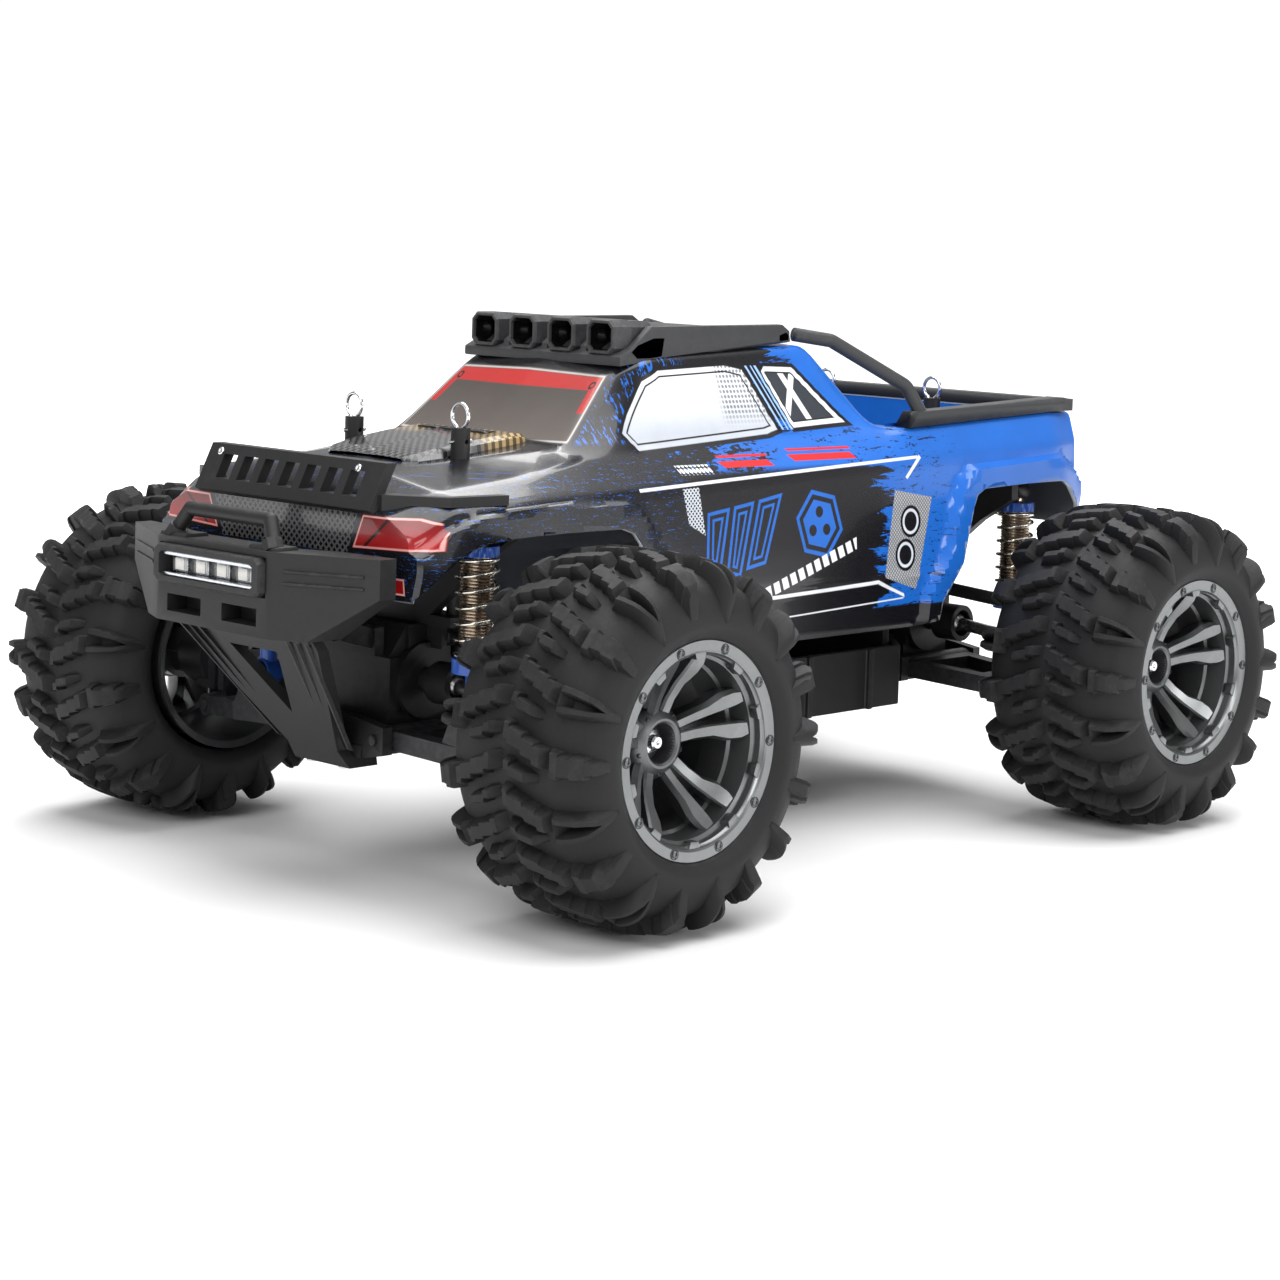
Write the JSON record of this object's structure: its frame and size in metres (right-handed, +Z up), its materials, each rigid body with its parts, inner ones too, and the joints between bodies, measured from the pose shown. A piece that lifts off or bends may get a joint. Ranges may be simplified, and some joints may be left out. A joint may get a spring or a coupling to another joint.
{
  "type": "radio-controlled monster truck",
  "caption": "Four-wheel-drive toy monster truck with lugged tyres, coil-over suspension, linked steering, a pickup body shell, lamp rack and front bumper.",
  "frame": {"origin": "bottom centre of the whole truck, on the ground between the wheels", "axes": "+X forward, +Y to the truck's left, +Z up"},
  "size_m": [0.3028, 0.2196, 0.138],
  "materials": {
    "tyre_rubber": "matt black rubber",
    "rim_grey": "satin titanium-grey",
    "spring_steel": "bright spring wire",
    "damper_bronze": "nickel-bronze plated thread",
    "damper_blue": "blue moulded plastic",
    "drive_steel": "bright steel",
    "arm_black": "black nylon",
    "servo_black": "black moulded plastic",
    "gear_plastic": "black acetal",
    "pinion_brass": "machined brass",
    "motor_steel": "plated steel can",
    "chassis_black": "black nylon, fine texture",
    "battery_wrap": "shrink wrap",
    "bumper_black": "matt black moulding",
    "lamp_clear": "clear lens on black frame",
    "body_paint": "blue and black painted polycarbonate",
    "clip_steel": "bright wire"
  },
  "bodies": {
    "root": {"chassis_tub": "chassis_black", "gearbox_housings": "chassis_black", "shock_towers": "chassis_black", "front_bumper": "bumper_black", "skid_plate": "bumper_black", "light_bar": "lamp_clear", "body_shell": "body_paint", "roof_rack": "bumper_black", "grille_guard": "bumper_black", "roll_bar": "bumper_black", "body_clips": "clip_steel", "motor": "motor_steel", "battery_pack": "battery_wrap", "speed_controller": "servo_black", "steering_servo": "servo_black"},
    "lower_arm_front_left": {"lower_arm_front_left": "arm_black"},
    "upper_link_front_left": {"upper_link_front_left": "arm_black"},
    "shock_body_front_left": {"shock_body_front_left": "damper_bronze", "shock_spring_front_left": "spring_steel"},
    "shock_rod_front_left": {"shock_rod_front_left": "damper_blue"},
    "driveshaft_front_left": {"driveshaft_front_left": "drive_steel"},
    "c_hub_left": {"c_hub_left": "arm_black"},
    "wheel_front_left": {"tyre_front_left": "tyre_rubber", "rim_front_left": "rim_grey"},
    "knuckle_left": {"knuckle_left": "arm_black"},
    "tie_rod_left": {"tie_rod_left": "arm_black"},
    "lower_arm_front_right": {"lower_arm_front_right": "arm_black"},
    "upper_link_front_right": {"upper_link_front_right": "arm_black"},
    "shock_body_front_right": {"shock_body_front_right": "damper_bronze", "shock_spring_front_right": "spring_steel"},
    "shock_rod_front_right": {"shock_rod_front_right": "damper_blue"},
    "driveshaft_front_right": {"driveshaft_front_right": "drive_steel"},
    "c_hub_right": {"c_hub_right": "arm_black"},
    "wheel_front_right": {"tyre_front_right": "tyre_rubber", "rim_front_right": "rim_grey"},
    "knuckle_right": {"knuckle_right": "arm_black"},
    "tie_rod_right": {"tie_rod_right": "arm_black"},
    "lower_arm_rear_left": {"lower_arm_rear_left": "arm_black"},
    "upper_link_rear_left": {"upper_link_rear_left": "arm_black"},
    "shock_body_rear_left": {"shock_body_rear_left": "damper_bronze", "shock_spring_rear_left": "spring_steel"},
    "shock_rod_rear_left": {"shock_rod_rear_left": "damper_blue"},
    "driveshaft_rear_left": {"driveshaft_rear_left": "drive_steel"},
    "rear_hub_left": {"rear_hub_left": "arm_black"},
    "wheel_rear_left": {"tyre_rear_left": "tyre_rubber", "rim_rear_left": "rim_grey"},
    "lower_arm_rear_right": {"lower_arm_rear_right": "arm_black"},
    "upper_link_rear_right": {"upper_link_rear_right": "arm_black"},
    "shock_body_rear_right": {"shock_body_rear_right": "damper_bronze", "shock_spring_rear_right": "spring_steel"},
    "shock_rod_rear_right": {"shock_rod_rear_right": "damper_blue"},
    "driveshaft_rear_right": {"driveshaft_rear_right": "drive_steel"},
    "rear_hub_right": {"rear_hub_right": "arm_black"},
    "wheel_rear_right": {"tyre_rear_right": "tyre_rubber", "rim_rear_right": "rim_grey"},
    "steering_link": {"steering_link": "arm_black"},
    "servo_arm": {"servo_arm": "servo_black"},
    "centre_shaft": {"centre_shaft": "drive_steel", "spur_gear": "gear_plastic"},
    "motor_pinion": {"motor_pinion": "pinion_brass"}
  },
  "joints": [
    {"name": "suspension_front_left", "type": "hinge", "parent": "root", "child": "lower_arm_front_left", "pos_m": [0.0926, 0.016, 0.035], "axis": [1, 0, 0], "range_deg": [0, 14], "stiffness_Nm_per_rad": 1, "springref_deg": -14.32},
    {"name": "hub_level_front_left", "type": "hinge", "parent": "lower_arm_front_left", "child": "c_hub_left", "pos_m": [0.0926, 0.062, 0.032], "axis": [1, 0, 0], "range_deg": [-14, 0]},
    {"name": "upper_link_swing_front_left", "type": "hinge", "parent": "root", "child": "upper_link_front_left", "pos_m": [0.0926, 0.016, 0.059], "axis": [1, 0, 0], "range_deg": [0, 14]},
    {"name": "shock_tilt_front_left", "type": "hinge", "parent": "root", "child": "shock_body_front_left", "pos_m": [0.0996, 0.039, 0.088], "axis": [1, 0, 0], "range_deg": [-4.33, 0]},
    {"name": "shock_stroke_front_left", "type": "slide", "parent": "shock_body_front_left", "child": "shock_rod_front_left", "axis": [0, 0, 1], "range_m": [0, 0.00529], "deforming": ["shock_spring_front_left"]},
    {"name": "driveshaft_swing_front_left", "type": "hinge", "parent": "root", "child": "driveshaft_front_left", "pos_m": [0.0926, 0.024, 0.048], "axis": [1, 0, 0], "range_deg": [0, 15.08]},
    {"name": "steer_left", "type": "hinge", "parent": "c_hub_left", "child": "knuckle_left", "pos_m": [0.0926, 0.067, 0.044], "axis": [0, 0, 1], "range_deg": [-20, 20]},
    {"name": "tie_rod_swing_left", "type": "hinge", "parent": "steering_link", "child": "tie_rod_left", "pos_m": [0.0786, 0.021, 0.0575], "axis": [1, 0, 0], "range_deg": [0, 14]},
    {"name": "wheel_spin_front_left", "type": "hinge", "parent": "knuckle_left", "child": "wheel_front_left", "pos_m": [0.0926, 0.0854, 0.044], "axis": [0, 1, 0], "continuous": true},
    {"name": "suspension_front_right", "type": "hinge", "parent": "root", "child": "lower_arm_front_right", "pos_m": [0.0926, -0.016, 0.035], "axis": [-1, 0, 0], "range_deg": [0, 14], "stiffness_Nm_per_rad": 1, "springref_deg": -14.32},
    {"name": "hub_level_front_right", "type": "hinge", "parent": "lower_arm_front_right", "child": "c_hub_right", "pos_m": [0.0926, -0.062, 0.032], "axis": [-1, 0, 0], "range_deg": [-14, 0]},
    {"name": "upper_link_swing_front_right", "type": "hinge", "parent": "root", "child": "upper_link_front_right", "pos_m": [0.0926, -0.016, 0.059], "axis": [-1, 0, 0], "range_deg": [0, 14]},
    {"name": "shock_tilt_front_right", "type": "hinge", "parent": "root", "child": "shock_body_front_right", "pos_m": [0.0996, -0.039, 0.088], "axis": [-1, 0, 0], "range_deg": [-4.33, 0]},
    {"name": "shock_stroke_front_right", "type": "slide", "parent": "shock_body_front_right", "child": "shock_rod_front_right", "axis": [0, 0, 1], "range_m": [0, 0.00529], "deforming": ["shock_spring_front_right"]},
    {"name": "driveshaft_swing_front_right", "type": "hinge", "parent": "root", "child": "driveshaft_front_right", "pos_m": [0.0926, -0.024, 0.048], "axis": [-1, 0, 0], "range_deg": [0, 15.08]},
    {"name": "steer_right", "type": "hinge", "parent": "c_hub_right", "child": "knuckle_right", "pos_m": [0.0926, -0.067, 0.044], "axis": [0, 0, 1], "range_deg": [-20, 20]},
    {"name": "tie_rod_swing_right", "type": "hinge", "parent": "steering_link", "child": "tie_rod_right", "pos_m": [0.0786, -0.021, 0.0575], "axis": [-1, 0, 0], "range_deg": [0, 14]},
    {"name": "wheel_spin_front_right", "type": "hinge", "parent": "knuckle_right", "child": "wheel_front_right", "pos_m": [0.0926, -0.0854, 0.044], "axis": [0, 1, 0], "continuous": true},
    {"name": "suspension_rear_left", "type": "hinge", "parent": "root", "child": "lower_arm_rear_left", "pos_m": [-0.1074, 0.016, 0.035], "axis": [1, 0, 0], "range_deg": [0, 14], "stiffness_Nm_per_rad": 1, "springref_deg": -14.32},
    {"name": "hub_level_rear_left", "type": "hinge", "parent": "lower_arm_rear_left", "child": "rear_hub_left", "pos_m": [-0.1074, 0.062, 0.032], "axis": [1, 0, 0], "range_deg": [-14, 0]},
    {"name": "upper_link_swing_rear_left", "type": "hinge", "parent": "root", "child": "upper_link_rear_left", "pos_m": [-0.1074, 0.016, 0.059], "axis": [1, 0, 0], "range_deg": [0, 14]},
    {"name": "shock_tilt_rear_left", "type": "hinge", "parent": "root", "child": "shock_body_rear_left", "pos_m": [-0.1144, 0.039, 0.088], "axis": [1, 0, 0], "range_deg": [-4.33, 0]},
    {"name": "shock_stroke_rear_left", "type": "slide", "parent": "shock_body_rear_left", "child": "shock_rod_rear_left", "axis": [0, 0, 1], "range_m": [0, 0.00529], "deforming": ["shock_spring_rear_left"]},
    {"name": "driveshaft_swing_rear_left", "type": "hinge", "parent": "root", "child": "driveshaft_rear_left", "pos_m": [-0.1074, 0.024, 0.048], "axis": [1, 0, 0], "range_deg": [0, 15.08]},
    {"name": "wheel_spin_rear_left", "type": "hinge", "parent": "rear_hub_left", "child": "wheel_rear_left", "pos_m": [-0.1074, 0.0854, 0.044], "axis": [0, 1, 0], "continuous": true},
    {"name": "suspension_rear_right", "type": "hinge", "parent": "root", "child": "lower_arm_rear_right", "pos_m": [-0.1074, -0.016, 0.035], "axis": [-1, 0, 0], "range_deg": [0, 14], "stiffness_Nm_per_rad": 1, "springref_deg": -14.32},
    {"name": "hub_level_rear_right", "type": "hinge", "parent": "lower_arm_rear_right", "child": "rear_hub_right", "pos_m": [-0.1074, -0.062, 0.032], "axis": [-1, 0, 0], "range_deg": [-14, 0]},
    {"name": "upper_link_swing_rear_right", "type": "hinge", "parent": "root", "child": "upper_link_rear_right", "pos_m": [-0.1074, -0.016, 0.059], "axis": [-1, 0, 0], "range_deg": [0, 14]},
    {"name": "shock_tilt_rear_right", "type": "hinge", "parent": "root", "child": "shock_body_rear_right", "pos_m": [-0.1144, -0.039, 0.088], "axis": [-1, 0, 0], "range_deg": [-4.33, 0]},
    {"name": "shock_stroke_rear_right", "type": "slide", "parent": "shock_body_rear_right", "child": "shock_rod_rear_right", "axis": [0, 0, 1], "range_m": [0, 0.00529], "deforming": ["shock_spring_rear_right"]},
    {"name": "driveshaft_swing_rear_right", "type": "hinge", "parent": "root", "child": "driveshaft_rear_right", "pos_m": [-0.1074, -0.024, 0.048], "axis": [-1, 0, 0], "range_deg": [0, 15.08]},
    {"name": "wheel_spin_rear_right", "type": "hinge", "parent": "rear_hub_right", "child": "wheel_rear_right", "pos_m": [-0.1074, -0.0854, 0.044], "axis": [0, 1, 0], "continuous": true},
    {"name": "steering_link_slide", "type": "slide", "parent": "root", "child": "steering_link", "axis": [0, 1, 0], "range_m": [-0.0049, 0.0049]},
    {"name": "servo_turn", "type": "hinge", "parent": "root", "child": "servo_arm", "pos_m": [0.0646, 0.0092, 0.0535], "axis": [0, 0, 1], "range_deg": [-20, 20]},
    {"name": "centre_shaft_spin", "type": "hinge", "parent": "root", "child": "centre_shaft", "pos_m": [-0.0074, 0, 0.048], "axis": [1, 0, 0], "continuous": true},
    {"name": "motor_pinion_spin", "type": "hinge", "parent": "root", "child": "motor_pinion", "pos_m": [-0.0814, 0.01259, 0.06059], "axis": [1, 0, 0], "continuous": true}
  ],
  "couplings": [
    {"joint": "hub_level_front_left", "follows": "suspension_front_left", "ratio": -1},
    {"joint": "upper_link_swing_front_left", "follows": "suspension_front_left", "ratio": 1},
    {"joint": "shock_tilt_front_left", "follows": "suspension_front_left", "ratio": -0.3019},
    {"joint": "shock_stroke_front_left", "follows": "suspension_front_left", "m_per_rad": 0.021246},
    {"joint": "driveshaft_swing_front_left", "follows": "suspension_front_left", "ratio": 1.0703},
    {"joint": "tie_rod_swing_left", "follows": "suspension_front_left", "ratio": 1},
    {"joint": "hub_level_front_right", "follows": "suspension_front_right", "ratio": -1},
    {"joint": "upper_link_swing_front_right", "follows": "suspension_front_right", "ratio": 1},
    {"joint": "shock_tilt_front_right", "follows": "suspension_front_right", "ratio": -0.3019},
    {"joint": "shock_stroke_front_right", "follows": "suspension_front_right", "m_per_rad": 0.021246},
    {"joint": "driveshaft_swing_front_right", "follows": "suspension_front_right", "ratio": 1.0703},
    {"joint": "steer_right", "follows": "steer_left", "ratio": 1},
    {"joint": "tie_rod_swing_right", "follows": "suspension_front_right", "ratio": 1},
    {"joint": "hub_level_rear_left", "follows": "suspension_rear_left", "ratio": -1},
    {"joint": "upper_link_swing_rear_left", "follows": "suspension_rear_left", "ratio": 1},
    {"joint": "shock_tilt_rear_left", "follows": "suspension_rear_left", "ratio": -0.3019},
    {"joint": "shock_stroke_rear_left", "follows": "suspension_rear_left", "m_per_rad": 0.021246},
    {"joint": "driveshaft_swing_rear_left", "follows": "suspension_rear_left", "ratio": 1.0703},
    {"joint": "hub_level_rear_right", "follows": "suspension_rear_right", "ratio": -1},
    {"joint": "upper_link_swing_rear_right", "follows": "suspension_rear_right", "ratio": 1},
    {"joint": "shock_tilt_rear_right", "follows": "suspension_rear_right", "ratio": -0.3019},
    {"joint": "shock_stroke_rear_right", "follows": "suspension_rear_right", "m_per_rad": 0.021246},
    {"joint": "driveshaft_swing_rear_right", "follows": "suspension_rear_right", "ratio": 1.0703},
    {"joint": "steering_link_slide", "follows": "steer_left", "m_per_rad": -0.013717},
    {"joint": "servo_turn", "follows": "steer_left", "ratio": -1},
    {"joint": "motor_pinion_spin", "follows": "centre_shaft_spin", "ratio": -2.9333}
  ]
}
